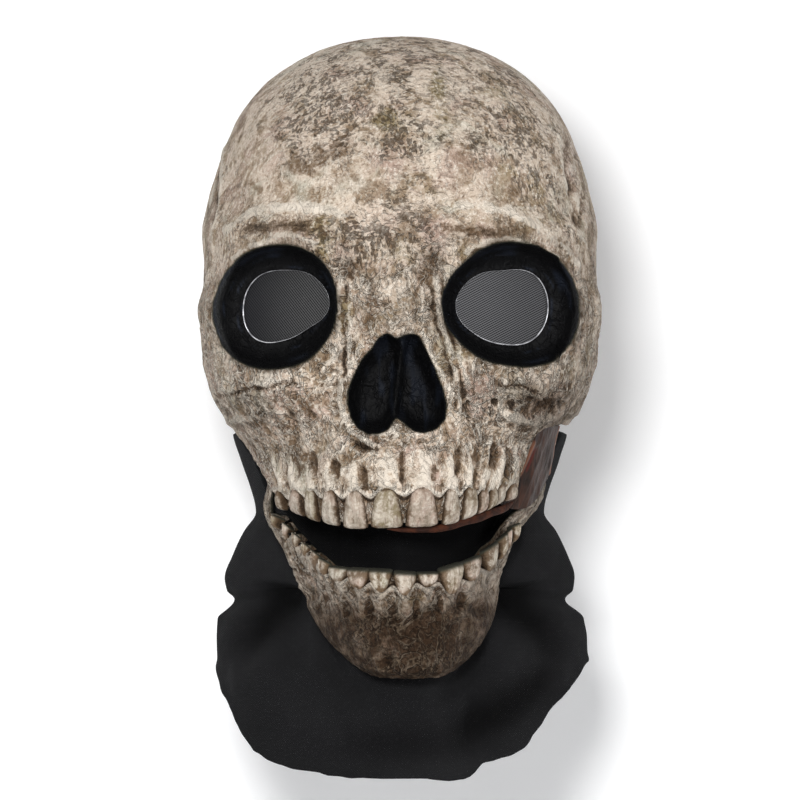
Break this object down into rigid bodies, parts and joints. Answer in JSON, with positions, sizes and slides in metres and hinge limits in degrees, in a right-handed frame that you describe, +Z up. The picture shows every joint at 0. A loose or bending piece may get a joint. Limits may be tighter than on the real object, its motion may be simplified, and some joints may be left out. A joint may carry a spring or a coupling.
{
  "type": "skull mask",
  "caption": "Full-head skull mask: a thin moulded bone-coloured skull and lower jaw with teeth, mesh in the eye holes, brown cheek webs and a loose black cloth hood.",
  "frame": {"origin": "inside of the skull at the crown, where it rests on the wearer's head", "axes": "+Z up through the crown, -Y out of the face, +X towards the mask's left side, which is on the viewer's right"},
  "size_m": [0.1844, 0.2353, 0.3414],
  "materials": {
    "bone": "matte aged bone paint over latex",
    "muscle": "satin brown paint over latex",
    "eye_mesh": "fine see-through weave",
    "hood_cloth": "matte knitted stretch cloth"
  },
  "bodies": {
    "root": {"skull_shell": "bone", "jaw_shell": "bone", "cheek_web_left": "muscle", "cheek_web_right": "muscle", "eye_mesh_left": "eye_mesh", "eye_mesh_right": "eye_mesh", "hood": "hood_cloth"}
  },
  "joints": []
}
